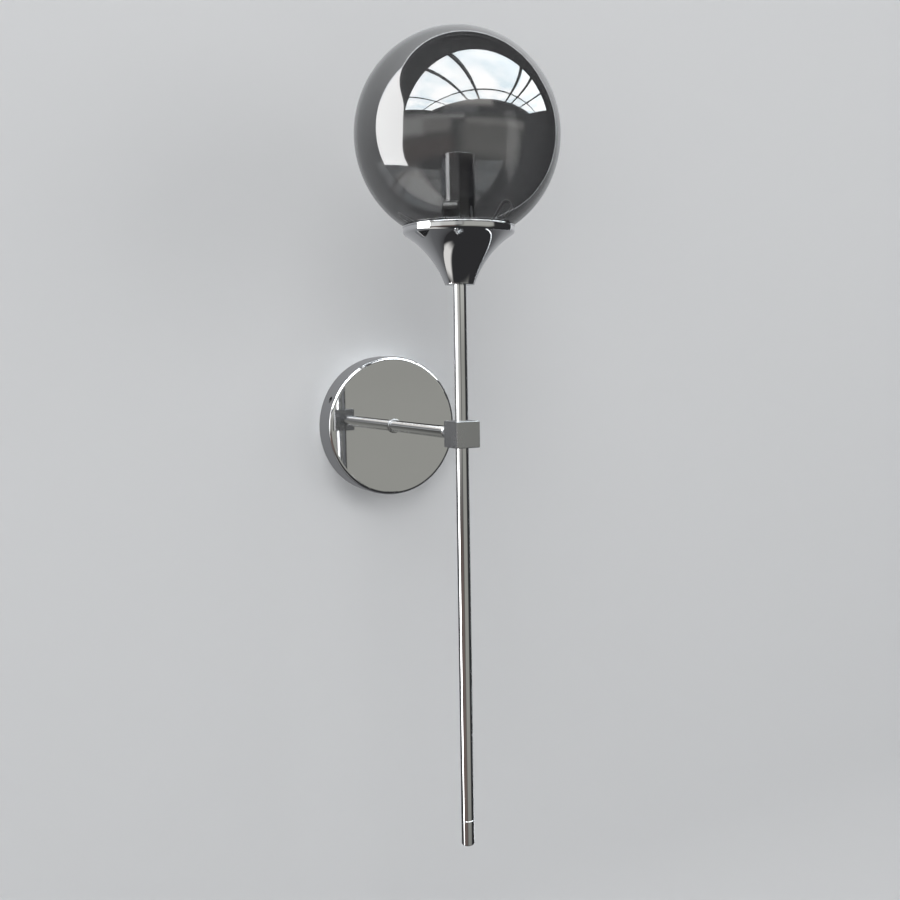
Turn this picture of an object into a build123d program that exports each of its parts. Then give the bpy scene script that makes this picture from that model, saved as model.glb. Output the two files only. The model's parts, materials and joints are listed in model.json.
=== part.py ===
"""Globe wall sconce.

A smoked glass globe stands in a trumpet-shaped cup on a slim upright, which an arm
carries in front of a round canopy on the wall. All sizes are in millimetres. X points
to the right along the wall, Y into the wall and Z up. The origin is the centre of the
canopy's back, on the face of the wall.
"""

from build123d import *

import os
from math import acos, asin, atan2, cos, hypot, pi, radians, sin, sqrt, tan

# --- Tubes and threads -------------------------------------------------------------
tube_diameter = 10.0
tube_wall = 1.0
thread_clearance = 0.03         # radial gap between a tube's thread and what it screws into
thread_overrun = 1.5            # thread that stands out beyond its nut
nut_flats = 14.0
nut_thickness = 3.0

# --- Canopy and wall bracket ---------------------------------------------------------
canopy_diameter = 118.0
canopy_depth = 22.0
canopy_wall = 1.2
canopy_edge_radius = 3.0
bracket_tilt = 24.0             # the strap slopes down to the right by this many degrees
bracket_width = 22.0
bracket_thickness = 1.5
bracket_bend_radius = 2.5
bracket_clearance = 0.3         # between each ear and the canopy's inner wall
ear_width = 16.0
ear_height = 18.5
ear_corner_radius = 3.0
cable_hole_diameter = 16.0
wall_screw_hole_diameter = 5.0
wall_screw_spacing = 72.0
canopy_screw_diameter = 4.0
canopy_screw_length = 6.0
canopy_screw_height = 13.5      # from the wall
canopy_screw_recess = 0.9
canopy_screw_key = 2.0          # across the flats of its socket
canopy_screw_key_depth = 1.6
screw_hole_diameter = 5.4       # in the canopy's side

# --- Arm and cross block ---------------------------------------------------------------
arm_reach = 139.0               # from the wall to the upright's axis
arm_collar_diameter = 12.2
arm_collar_thickness = 1.5
arm_washer_diameter = 18.0
arm_washer_thickness = 1.0
block_size = 20.0
block_bevel = 0.4
thread_engagement = 4.8

# --- Upright's lower end ------------------------------------------------------------------
tail_drop = 325.4               # from the arm's axis to the lowest point
tail_cap_length = 20.5
tail_spigot_length = 8.0
tail_edge = 0.6

# --- Cup ------------------------------------------------------------------------------------
cup_foot_height = 110.4         # from the arm's axis to the cup's foot
cup_height = 42.4
cup_foot_radius = 11.2
cup_foot_round = 0.8
cup_rim_radius = 41.4
cup_band_height = 5.3
cup_wall = 1.2
cup_boss_height = 10.0
cup_shoulder_radius = 3.0
cup_corner_radius = 0.6         # inside, under the band
cup_lip_round = 0.35
flare_half_turn = 20.0          # half of the angle that the flare's curve turns through

# --- What stands in the cup ---------------------------------------------------------------
plate_thickness = 1.2
plate_clearance = 0.1
gasket_height = 2.2
gasket_width = 6.0
sleeve_diameter = 25.0
sleeve_wall = 0.8
sleeve_height = 53.8            # from the clip plate to its rim
sleeve_base_thickness = 1.0

# --- Globe ----------------------------------------------------------------------------------
globe_diameter = 150.0
globe_wall = 2.4
globe_lip_clearance = 0.3       # between the glass and the cup's lip
globe_edge_bevel = 0.4

# --- Spring clips: angle round the upright, rise of the leg, its length, loop radius,
#     turn of the loop and length of the tail. The rear left one is bent flat. ---------------
clip_width = 10.0
clip_thickness = 0.5
clip_foot_radius = 13.4         # where the foot starts
clip_foot_length = 7.0
clip_bend_radius = 1.0
clip_shapes = {
    "front_left": (231.8, 52.0, 18.0, 3.2, 190.0, 6.0),
    "front_right": (321.8, 57.0, 21.0, 3.5, 190.0, 7.0),
    "rear_right": (51.8, 57.0, 21.0, 3.5, 190.0, 7.0),
    "rear_left": (141.8, 31.0, 26.0, 1.0, 176.0, 9.0),
}
rivet_diameter = 2.5
rivet_head_diameter = 4.6
rivet_head_height = 0.9

# --- Lampholder and lamp ---------------------------------------------------------------------
holder_diameter = 17.6
holder_height = 14.0
holder_lift = 0.6               # from the tube's end up to the holder
holder_edge = 0.6
holder_strap_width = 8.0
holder_strap_thickness = 1.0
holder_strap_clearance = 0.05
holder_screw_diameter = 3.0
holder_screw_length = 4.0
holder_screw_head_diameter = 5.0
holder_screw_head_height = 1.1
holder_screw_level = 6.0        # above the holder's underside
holder_strap_margin = 3.0       # strap left above its screws
pin_pitch = 9.0
pin_diameter = 1.2
pin_length = 5.0
contact_bore = 1.6
contact_wall = 0.3
contact_length = 7.0
contact_depth = 0.8             # below the holder's face
lamp_base_diameter = 13.0
lamp_base_height = 5.0
lamp_diameter = 13.6
lamp_height = 31.5              # from the holder's face to its top
lamp_pinch = 0.8

# --- Wiring ------------------------------------------------------------------------------------
lead_diameter = 2.0
lead_offset = 1.2               # of the live and neutral leads, either side of the arm's axis
lead_drop = 0.9                 # of the leads below the arm's axis
lead_clearance = 0.05
lead_entry = 3.0                # of each lead into the holder
lead_level = 6.0                # of the leads over the wall, in the canopy
lead_block_bend = 8.0
lead_canopy_bend = 5.5
lead_terminal_bend = 3.0
bush_length = 7.0
bush_flange = 0.8
bush_wall = 0.9
bush_clearance = 0.03
terminal_near_edge = 11.0       # from the arm's axis, along the strap
terminal_width = 15.0
terminal_pitch = 10.0
terminal_height = 12.0
terminal_foot_height = 3.0
terminal_tower_diameter = 8.6
terminal_barrel_diameter = 4.8
terminal_barrel_length = 13.0
terminal_well_diameter = 4.2
terminal_screw_diameter = 2.5
terminal_screw_head_diameter = 3.8
terminal_screw_length = 4.4
terminal_screw_head_height = 1.4
terminal_screw_spacing = 7.0
earth_screw_place = (-22.0, 4.5)  # along and across the strap, from the arm's axis
earth_lug_diameter = 8.0
earth_lug_thickness = 0.8
earth_barrel_length = 5.0
earth_barrel_wall = 0.6
earth_neck_width = 3.4
earth_screw_diameter = 4.0
earth_head_diameter = 7.0
earth_head_height = 2.2
screw_slot_width = 0.8

# --- Levels and radii that follow from the sizes above ------------------------------------------
tube_radius = tube_diameter / 2
tube_bore = tube_radius - tube_wall
thread_bore = tube_radius + thread_clearance
canopy_radius = canopy_diameter / 2
canopy_inner_radius = canopy_radius - canopy_wall
ear_face = sqrt(canopy_inner_radius**2 - (ear_width / 2) ** 2) - bracket_clearance
arm_nut_top = canopy_depth - canopy_wall - arm_washer_thickness
arm_nut_bottom = arm_nut_top - nut_thickness
arm_start = arm_nut_bottom - thread_overrun
socket_depth = block_size / 2 - thread_engagement
arm_end = arm_reach - socket_depth

cup_rim_top = cup_foot_height + cup_height
cup_rim_inner = cup_rim_radius - cup_wall
boss_top = cup_foot_height + cup_boss_height

# The flare is one arc from the foot's edge to the corner under the band. Its direction,
# measured from the vertical, turns evenly about the direction of the chord.
flare_start = (cup_foot_radius, cup_foot_height + cup_foot_round)
flare_end = (cup_rim_radius, cup_rim_top - cup_band_height)
flare_run = flare_end[0] - flare_start[0]
flare_rise = flare_end[1] - flare_start[1]
flare_radius = hypot(flare_run, flare_rise) / (2 * sin(radians(flare_half_turn)))
flare_heading = atan2(flare_run, flare_rise) - radians(flare_half_turn)
flare_centre = (
    flare_start[0] + flare_radius * cos(flare_heading),
    flare_start[1] - flare_radius * sin(flare_heading),
)
flare_inner_radius = flare_radius + cup_wall
flare_inner_end = acos((flare_centre[0] - cup_rim_inner) / flare_inner_radius)

cup_corner = flare_centre[1] + flare_inner_radius * sin(flare_inner_end)
plate_bottom = cup_corner + cup_corner_radius * tan(flare_inner_end / 2)
plate_top = plate_bottom + plate_thickness
plate_radius = cup_rim_inner - plate_clearance
gasket_top = plate_top + gasket_height
sleeve_base_top = plate_top + sleeve_base_thickness
sleeve_radius = sleeve_diameter / 2
holder_nut_bottom = sleeve_base_top + holder_strap_thickness
holder_nut_top = holder_nut_bottom + nut_thickness
upright_top = holder_nut_top + thread_overrun / 2
holder_bottom = upright_top + holder_lift
holder_top = holder_bottom + holder_height
holder_radius = holder_diameter / 2

globe_radius = globe_diameter / 2
globe_inner_radius = globe_radius - globe_wall
globe_centre = cup_rim_top + sqrt(globe_radius**2 - (cup_rim_inner - globe_lip_clearance) ** 2)
globe_mouth_outer = sqrt(globe_radius**2 - (globe_centre - gasket_top) ** 2)
globe_mouth_inner = sqrt(globe_inner_radius**2 - (globe_centre - gasket_top) ** 2)

clip_rivet_radius = clip_foot_radius + clip_foot_length / 2
lead_radius = lead_diameter / 2
terminal_centre = terminal_near_edge + terminal_width / 2
terminal_top = bracket_thickness + terminal_height
earth_lead_level = bracket_thickness + lead_radius + earth_barrel_wall

STANDING = (Align.CENTER, Align.CENTER, Align.MIN)
WALL = Plane(origin=(0, 0, 0), x_dir=(1, 0, 0), z_dir=(0, -1, 0)).location
STRAP = WALL * Rot(0, 0, -bracket_tilt)
UPRIGHT = Pos(0, -arm_reach, 0)
SIDES = (-1, 1)


# --- Shapes that several pieces use ------------------------------------------------------------
def ring(outer, inner, bottom, top):
    """Round ring between two heights on the Z axis."""
    tall = top - bottom
    return Pos(0, 0, bottom) * (
        Cylinder(outer, tall, align=STANDING) - Cylinder(inner, tall, align=STANDING)
    )


def rod(radius, bottom, top):
    """Round rod between two heights on the Z axis."""
    return Pos(0, 0, bottom) * Cylinder(radius, top - bottom, align=STANDING)


def turned(outline):
    """Solid turned about the Z axis from a closed outline in radius and height."""
    return revolve(Plane.XZ * make_face(outline), Axis.Z)


def circles_at(solid, radius, height, reach=0.01):
    """The solid's round edges of one radius at one height."""
    return [
        edge
        for edge in solid.edges().filter_by(GeomType.CIRCLE)
        if abs(edge.radius - radius) < reach and abs(edge.center().Z - height) < reach
    ]


def hex_nut(bottom):
    """Hexagon nut for the tube's thread, from the height of its underside."""
    blank = extrude(RegularPolygon(nut_flats / 2, 6, major_radius=False), nut_thickness)
    return Pos(0, 0, bottom) * (blank - Cylinder(thread_bore, nut_thickness, align=STANDING))


def slotted_screw(shank, length, head, head_height):
    """Screw with a slotted cheese head. Its shank's tip is at the origin, its head is up."""
    body = rod(shank / 2, 0, length) + rod(head / 2, length, length + head_height)
    slot = Box(head, screw_slot_width, head_height / 2, align=STANDING)
    return body - Pos(0, 0, length + head_height / 2) * slot


def strip_sides(start, heading, runs, thickness):
    """Outline of a bent strip: each run is a length, a bend radius and a turn to the left."""
    sides = []
    ends = []
    for shift in (0.0, thickness):
        angle = heading
        point = Vector(start) + Vector(0, shift).rotate(Axis.Z, angle)
        ends.append([point])
        for length, bend, turn in runs:
            far = point + Vector(length, 0).rotate(Axis.Z, angle)
            sides.append(Line(point, far))
            point = far
            if turn:
                shifted = bend - shift if turn > 0 else bend + shift
                bent = JernArc(point, Vector(1, 0).rotate(Axis.Z, angle), shifted, turn)
                sides.append(bent)
                point = bent @ 1
                angle += turn
        ends[-1].append(point)
    return sides + [Line(near, far) for near, far in zip(*ends)]


# --- Wall side ------------------------------------------------------------------------------------
def wall_bracket():
    """Steel strap screwed to the wall. Its two ears hold the canopy's side screws."""
    solid = Box(2 * ear_face, bracket_width, ear_height, align=STANDING)
    bends = [e for e in solid.edges().filter_by(Axis.Y) if e.center().Z < ear_height / 2]
    solid = fillet(bends, bracket_bend_radius)
    inner = Box(
        2 * (ear_face - bracket_thickness), bracket_width, ear_height, align=STANDING
    )
    bends = [e for e in inner.edges().filter_by(Axis.Y) if e.center().Z < ear_height / 2]
    solid -= Pos(0, 0, bracket_thickness) * fillet(bends, bracket_bend_radius - bracket_thickness)
    trim = (bracket_width - ear_width) / 2
    relief = 2 * (bracket_bend_radius + bracket_thickness)
    notch = Box(relief, trim, ear_height, align=STANDING)
    for side in SIDES:
        for edge in SIDES:
            solid -= Pos(side * ear_face, edge * (bracket_width - trim) / 2, 0) * notch
    corners = [
        e for e in solid.edges().filter_by(Axis.X) if abs(e.center().Z - ear_height) < 0.01
    ]
    solid = fillet(corners, ear_corner_radius)
    solid -= rod(cable_hole_diameter / 2, 0, bracket_thickness)
    for side in SIDES:
        place = Pos(side * wall_screw_spacing / 2, 0, 0)
        solid -= place * rod(wall_screw_hole_diameter / 2, 0, bracket_thickness)
    thread = Cylinder(canopy_screw_diameter / 2 + thread_clearance, 2 * canopy_diameter)
    solid -= Pos(0, 0, canopy_screw_height) * Rot(0, 90, 0) * thread
    earth = rod(earth_screw_diameter / 2 + thread_clearance, 0, bracket_thickness)
    solid -= Pos(*earth_screw_place, 0) * earth
    return STRAP * solid


def canopy():
    """Spun cover with a rounded front edge, a hole for the arm and one on each side."""
    outer = Cylinder(canopy_radius, canopy_depth, align=STANDING)
    outer = fillet(circles_at(outer, canopy_radius, canopy_depth), canopy_edge_radius)
    front = canopy_depth - canopy_wall
    inner = Cylinder(canopy_inner_radius, front, align=STANDING)
    inner = fillet(
        circles_at(inner, canopy_inner_radius, front), canopy_edge_radius - canopy_wall
    )
    solid = WALL * (outer - inner - rod(thread_bore, 0, canopy_depth))
    across = Rot(0, 90, 0) * Cylinder(screw_hole_diameter / 2, 2 * canopy_diameter)
    return solid - STRAP * Pos(0, 0, canopy_screw_height) * across


def canopy_screws():
    """Two headless screws that hold the canopy to the bracket's ears."""
    blank = rod(canopy_screw_diameter / 2, 0, canopy_screw_length)
    tip = circles_at(blank, canopy_screw_diameter / 2, 0)
    blank = chamfer(tip, canopy_screw_diameter / 8)
    key = extrude(RegularPolygon(canopy_screw_key / 2, 6, major_radius=False), canopy_screw_length)
    blank -= Pos(0, 0, canopy_screw_length - canopy_screw_key_depth) * key
    tip_place = canopy_radius - canopy_screw_recess - canopy_screw_length
    return [
        STRAP * Rot(0, 0, turn) * Pos(tip_place, 0, canopy_screw_height) * Rot(0, 90, 0) * blank
        for turn in (0, 180)
    ]


# --- Arm, cross block and upright ----------------------------------------------------------------
def arm_tube():
    """Tube from its nut in the canopy to its socket in the cross block."""
    return WALL * ring(tube_radius, tube_bore, arm_start, arm_end)


def arm_collar():
    """Ring pressed on the arm, which the canopy's front is clamped against."""
    top = canopy_depth + arm_collar_thickness
    solid = ring(arm_collar_diameter / 2, tube_radius, canopy_depth, top)
    edge = circles_at(solid, arm_collar_diameter / 2, top)
    return WALL * fillet(edge, arm_collar_thickness / 3)


def arm_washer():
    """Washer behind the canopy's front."""
    return WALL * ring(arm_washer_diameter / 2, thread_bore, arm_nut_top,
                       arm_nut_top + arm_washer_thickness)


def wire_bush():
    """Plastic bush that guards the leads at the arm's sharp end."""
    outer = tube_bore - bush_clearance
    bore = outer - bush_wall
    plug = ring(outer, bore, arm_start, arm_start + bush_length)
    flange = ring(tube_radius, bore, arm_start - bush_flange, arm_start)
    return WALL * (plug + flange)


def cross_block():
    """Cube that the arm and both halves of the upright screw into."""
    solid = Box(block_size, block_size, block_size)
    solid = chamfer(solid.edges(), block_bevel)
    upright_bore = Cylinder(tube_bore, block_size)
    arm_bore = Pos(0, block_size / 4, 0) * Rot(90, 0, 0) * Cylinder(tube_bore, block_size / 2)
    solid -= upright_bore + arm_bore
    socket = rod(thread_bore, socket_depth, block_size / 2)
    for turn in (Rot(0, 0, 0), Rot(180, 0, 0), Rot(-90, 0, 0)):
        solid -= turn * socket
    return UPRIGHT * solid


def upper_tube():
    """Upright's upper half, from the cross block to the nut inside the sleeve."""
    return UPRIGHT * ring(tube_radius, tube_bore, socket_depth, upright_top)


def lower_tube():
    """Upright's lower half, from the cross block to the end cap."""
    bottom = tail_cap_length - tail_drop
    return UPRIGHT * ring(tube_radius, tube_bore, bottom, -socket_depth)


def tail_cap():
    """Solid end of the tail, with a spigot up inside the tube."""
    joint = tail_cap_length - tail_drop
    solid = rod(tube_radius, -tail_drop, joint)
    solid = chamfer(circles_at(solid, tube_radius, -tail_drop), tail_edge)
    solid += rod(tube_bore - thread_clearance, joint, joint + tail_spigot_length)
    return UPRIGHT * solid


# --- Cup and what stands in it -------------------------------------------------------------------
def flare_arc(radius, start, end):
    """Arc about the flare's centre between two headings from the vertical, in radians."""
    points = [
        (flare_centre[0] - radius * cos(turn), flare_centre[1] + radius * sin(turn))
        for turn in (start, (start + end) / 2, end)
    ]
    return ThreePointArc(*points)


def cup():
    """Spun trumpet cup with a solid threaded boss at its foot and a band at its rim."""
    flare_top = flare_heading + 2 * radians(flare_half_turn)
    outside = flare_arc(flare_radius, flare_heading, flare_top)
    boss_turn = asin((boss_top - flare_centre[1]) / flare_inner_radius)
    inside = flare_arc(flare_inner_radius, flare_inner_end, boss_turn)
    foot_edge = (cup_foot_radius - cup_foot_round, cup_foot_height)
    foot = JernArc(foot_edge, (1, 0), cup_foot_round, 90)
    boss = [inside @ 1, (thread_bore, boss_top), (thread_bore, cup_foot_height), foot_edge]
    band = [outside @ 1, (cup_rim_radius, cup_rim_top), (cup_rim_inner, cup_rim_top), inside @ 0]
    solid = turned([foot, outside, Polyline(*band), inside, Polyline(*boss)])
    solid = fillet(circles_at(solid, *flare_end), cup_shoulder_radius)
    solid = fillet(circles_at(solid, cup_rim_inner, cup_corner), cup_corner_radius)
    lips = [*circles_at(solid, cup_rim_radius, cup_rim_top),
            *circles_at(solid, cup_rim_inner, cup_rim_top)]
    return UPRIGHT * fillet(lips, cup_lip_round)


def tube_nuts():
    """Nuts on the tubes: behind the canopy's front, on the cup's boss, under the clip
    plate and in the sleeve."""
    return [
        WALL * hex_nut(arm_nut_bottom),
        UPRIGHT * hex_nut(boss_top),
        UPRIGHT * hex_nut(plate_bottom - nut_thickness),
        UPRIGHT * hex_nut(holder_nut_bottom),
    ]


def clip_plate():
    """Round plate that closes the cup and carries the clips, the sleeve and the globe."""
    solid = ring(plate_radius, thread_bore, plate_bottom, plate_top)
    for turn, *_ in clip_shapes.values():
        hole = Pos(clip_rivet_radius, 0, 0) * rod(rivet_diameter / 2, plate_bottom, plate_top)
        solid -= Rot(0, 0, turn) * hole
    return UPRIGHT * solid


def globe_gasket():
    """Black rubber ring between the clip plate and the globe's mouth."""
    outer = plate_radius - plate_clearance
    return UPRIGHT * ring(outer, outer - gasket_width, plate_top, gasket_top)


def spring_clip(turn, rise, leg, loop, loop_turn, tail):
    """Leaf that rises through the globe's mouth and loops outwards above its edge."""
    runs = [
        (clip_foot_length, clip_bend_radius, rise),
        (leg, loop, -loop_turn),
        (tail, 0, 0),
    ]
    outline = strip_sides((clip_foot_radius, plate_top), 0, runs, clip_thickness)
    leaf = extrude(Plane.XZ * make_face(outline), clip_width / 2, both=True)
    hole = rod(rivet_diameter / 2, plate_top, plate_top + clip_thickness)
    leaf -= Pos(clip_rivet_radius, 0, 0) * hole
    return UPRIGHT * Rot(0, 0, turn) * leaf


def clip_rivets():
    """One rivet for each clip."""
    foot_top = plate_top + clip_thickness
    shank = rod(rivet_diameter / 2, plate_bottom, foot_top)
    head = rod(rivet_head_diameter / 2, foot_top, foot_top + rivet_head_height)
    head = fillet(
        circles_at(head, rivet_head_diameter / 2, foot_top + rivet_head_height),
        rivet_head_height / 2,
    )
    rivet = Pos(clip_rivet_radius, 0, 0) * (shank + head)
    return [UPRIGHT * Rot(0, 0, turn) * rivet for turn, *_ in clip_shapes.values()]


def sleeve():
    """Chrome tube that hides the lampholder, with an inturned base under its nut."""
    top = plate_top + sleeve_height
    solid = rod(sleeve_radius, plate_top, top)
    solid -= rod(sleeve_radius - sleeve_wall, sleeve_base_top, top)
    return UPRIGHT * (solid - rod(thread_bore, plate_top, sleeve_base_top))


def globe():
    """Blown glass sphere, open below at a ground mouth that stands on the gasket."""
    top = globe_centre + globe_radius
    outline = [
        ThreePointArc((globe_mouth_outer, gasket_top), (globe_radius, globe_centre), (0, top)),
        Line((0, top), (0, top - globe_wall)),
        ThreePointArc(
            (0, top - globe_wall),
            (globe_inner_radius, globe_centre),
            (globe_mouth_inner, gasket_top),
        ),
        Line((globe_mouth_inner, gasket_top), (globe_mouth_outer, gasket_top)),
    ]
    solid = turned(outline)
    edge = circles_at(solid, globe_mouth_outer, gasket_top)
    return UPRIGHT * chamfer(edge, globe_edge_bevel)


# --- Lampholder and lamp ---------------------------------------------------------------------------
def lampholder_strap():
    """U-shaped strap under the sleeve's nut, with an ear on each side of the holder."""
    inner = holder_radius + holder_strap_clearance
    outer = inner + holder_strap_thickness
    top = holder_bottom + holder_screw_level + holder_strap_margin
    tall = top - sleeve_base_top
    solid = Box(2 * outer, holder_strap_width, tall, align=STANDING)
    solid -= Pos(0, 0, holder_strap_thickness) * Box(
        2 * inner, holder_strap_width, tall, align=STANDING
    )
    solid = Pos(0, 0, sleeve_base_top) * solid
    solid += rod(outer, sleeve_base_top, holder_nut_bottom)
    solid -= rod(thread_bore, sleeve_base_top, holder_nut_bottom)
    screws = Rot(0, 90, 0) * Cylinder(holder_screw_diameter / 2, 2 * outer)
    solid -= Pos(0, 0, holder_bottom + holder_screw_level) * screws
    return UPRIGHT * solid


def lampholder():
    """Ceramic two-pin holder, with a blind socket for each pin and each side screw."""
    solid = rod(holder_radius, holder_bottom, holder_top)
    rims = [
        *circles_at(solid, holder_radius, holder_top),
        *circles_at(solid, holder_radius, holder_bottom),
    ]
    solid = chamfer(rims, holder_edge)
    contact_radius = contact_bore / 2 + contact_wall
    for side in SIDES:
        socket = rod(contact_radius, holder_top - contact_depth - contact_length, holder_top)
        solid -= Pos(0, side * pin_pitch / 2, 0) * socket
        entry = rod(lead_radius + lead_clearance, holder_bottom, holder_bottom + lead_entry)
        solid -= Pos(side * lead_offset, -lead_drop, 0) * entry
    level = holder_bottom + holder_screw_level
    for turn in (90, -90):
        blind = rod(holder_screw_diameter / 2, holder_radius - holder_screw_length, holder_radius)
        solid -= Pos(0, 0, level) * Rot(0, turn, 0) * blind
    return UPRIGHT * solid


def lampholder_contacts():
    """Two brass tubes that grip the lamp's pins."""
    top = holder_top - contact_depth
    tube = ring(contact_bore / 2 + contact_wall, contact_bore / 2, top - contact_length, top)
    return [UPRIGHT * Pos(0, side * pin_pitch / 2, 0) * tube for side in SIDES]


def lampholder_screws():
    """Two screws through the strap's ears into the holder."""
    ear = holder_strap_clearance + holder_strap_thickness
    length = holder_screw_length + ear
    screw = slotted_screw(
        holder_screw_diameter, length, holder_screw_head_diameter, holder_screw_head_height
    )
    level = holder_bottom + holder_screw_level
    return [
        UPRIGHT
        * Pos(0, 0, level)
        * Rot(0, turn, 0)
        * Pos(0, 0, holder_radius - holder_screw_length)
        * screw
        for turn in (90, -90)
    ]


def lamp_base():
    """The lamp's insulating base, with a pinched waist for the fingers."""
    radius = lamp_base_diameter / 2
    solid = rod(radius, holder_top, holder_top + lamp_base_height)
    groove = ring(radius, radius - lamp_pinch, 0, lamp_base_height / 4)
    return UPRIGHT * (solid - Pos(0, 0, holder_top + lamp_base_height / 4) * groove)


def lamp_capsule():
    """Frosted capsule with a domed top."""
    radius = lamp_diameter / 2
    bottom = holder_top + lamp_base_height
    top = holder_top + lamp_height
    solid = rod(radius, bottom, top)
    return UPRIGHT * fillet(circles_at(solid, radius, top), radius - lamp_pinch)


def lamp_pins():
    """The lamp's two pins."""
    pin = rod(pin_diameter / 2, holder_top - pin_length, holder_top)
    pin = fillet(circles_at(pin, pin_diameter / 2, holder_top - pin_length), pin_diameter / 3)
    return [UPRIGHT * Pos(0, side * pin_pitch / 2, 0) * pin for side in SIDES]


# --- Wiring ------------------------------------------------------------------------------------------
def terminal_places(rows):
    """The terminal block's poles or the gaps between them, across the strap."""
    return [terminal_pitch * (row - (rows - 1) / 2) for row in range(rows)]


def terminal_block():
    """Three-pole screw terminal on the strap."""
    foot = Box(terminal_width, 3 * terminal_pitch, terminal_foot_height, align=STANDING)
    solid = Pos(terminal_centre, 0, bracket_thickness) * foot
    tower = Box(
        terminal_width, terminal_tower_diameter, terminal_height, align=STANDING
    )
    crown = tower.edges().filter_by(Axis.X).group_by(Axis.Z)[-1]
    tower = fillet(crown, terminal_tower_diameter / 4)
    bore = Rot(0, 90, 0) * Cylinder(terminal_barrel_diameter / 2, 2 * terminal_width)
    well = rod(terminal_well_diameter / 2, lead_level, terminal_top)
    for across in terminal_places(3):
        solid += Pos(terminal_centre, across, bracket_thickness) * tower
    for across in terminal_places(3):
        solid -= Pos(terminal_centre, across, lead_level) * bore
        for side in SIDES:
            along = terminal_centre + side * terminal_screw_spacing / 2
            solid -= Pos(along, across, 0) * well
    return STRAP * solid


def terminal_barrels():
    """Brass barrel in each pole."""
    barrel = Cylinder(terminal_barrel_diameter / 2, terminal_barrel_length)
    barrel -= Cylinder(lead_radius, terminal_barrel_length)
    barrel = Rot(0, 90, 0) * barrel
    hole = Cylinder(terminal_screw_diameter / 2, terminal_barrel_diameter, align=STANDING)
    for side in SIDES:
        barrel -= Pos(side * terminal_screw_spacing / 2, 0, 0) * hole
    return [
        STRAP * Pos(terminal_centre, across, lead_level) * barrel for across in terminal_places(3)
    ]


def terminal_screws():
    """Two screws for each pole."""
    screw = slotted_screw(
        terminal_screw_diameter,
        terminal_screw_length,
        terminal_screw_head_diameter,
        terminal_screw_head_height,
    )
    return [
        STRAP
        * Pos(
            terminal_centre + side * terminal_screw_spacing / 2, across, lead_level + lead_radius
        )
        * screw
        for across in terminal_places(3)
        for side in SIDES
    ]


def earth_lug():
    """Ring lug under the earth screw, with a barrel for its lead."""
    along, across = earth_screw_place
    eye = ring(
        earth_lug_diameter / 2,
        earth_screw_diameter / 2 + thread_clearance,
        bracket_thickness,
        bracket_thickness + earth_lug_thickness,
    )
    neck = Box(
        earth_lug_diameter / 2, earth_neck_width, earth_lug_thickness,
        align=(Align.MIN, Align.CENTER, Align.MIN),
    )
    middle = earth_lug_diameter / 2 + earth_barrel_length / 2
    lie = Pos(middle, 0, earth_lead_level) * Rot(0, 90, 0)
    solid = eye + Pos(earth_lug_diameter / 3, 0, bracket_thickness) * neck
    solid += lie * Cylinder(lead_radius + earth_barrel_wall, earth_barrel_length)
    solid -= lie * Cylinder(lead_radius, earth_barrel_length)
    return STRAP * Pos(along, across, 0) * solid


def earth_screw():
    """Screw that clamps the earth lug to the strap."""
    shank = bracket_thickness + earth_lug_thickness
    screw = slotted_screw(earth_screw_diameter, shank, earth_head_diameter, earth_head_height)
    return STRAP * Pos(*earth_screw_place, 0) * screw


def on_strap(along, across, out):
    """Point given along and across the strap and out from the wall."""
    turn = radians(-bracket_tilt)
    return Vector(
        along * cos(turn) - across * sin(turn), -out, along * sin(turn) + across * cos(turn)
    )


def lead(name, points, bends):
    """Insulated lead along straight runs joined by tangent arcs."""
    path = FilletPolyline(*points, radius=bends)
    solid = sweep(Plane(path @ 0, z_dir=path % 0) * Circle(lead_radius), path=path)
    share = solid.volume / (path.length * pi * lead_radius**2)
    print(f"{name}: {path.length:.1f} mm long, volume over section times length {share:.4f}")
    return solid


def lamp_lead(name, side, across):
    """Live or neutral lead from its terminal, through the arm and up to the lampholder."""
    outlet = terminal_centre - terminal_barrel_length / 4
    sideways = side * lead_offset
    points = [
        on_strap(outlet, across, lead_level),
        on_strap(terminal_near_edge - lead_terminal_bend, across, lead_level),
        Vector(sideways, -lead_level, -lead_drop),
        Vector(sideways, -arm_reach - lead_drop, -lead_drop),
        Vector(sideways, -arm_reach - lead_drop, holder_bottom + lead_entry),
    ]
    return lead(name, points, [lead_terminal_bend, lead_canopy_bend, lead_block_bend])


def earth_lead(across):
    """Earth lead from its terminal to the lug on the strap."""
    outlet = terminal_centre - terminal_barrel_length / 4
    along, lug_across = earth_screw_place
    mouth = along + earth_lug_diameter / 2
    points = [
        on_strap(outlet, across, lead_level),
        on_strap(terminal_near_edge - lead_terminal_bend, across, lead_level),
        on_strap(mouth + 2 * earth_barrel_length, lug_across, earth_lead_level),
        on_strap(mouth, lug_across, earth_lead_level),
    ]
    return lead("earth_lead", points, [lead_terminal_bend, lead_terminal_bend])


# --- The pieces, each in its own file ----------------------------------------------------------------
pole_earth, pole_neutral, pole_live = reversed(terminal_places(3))

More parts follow.
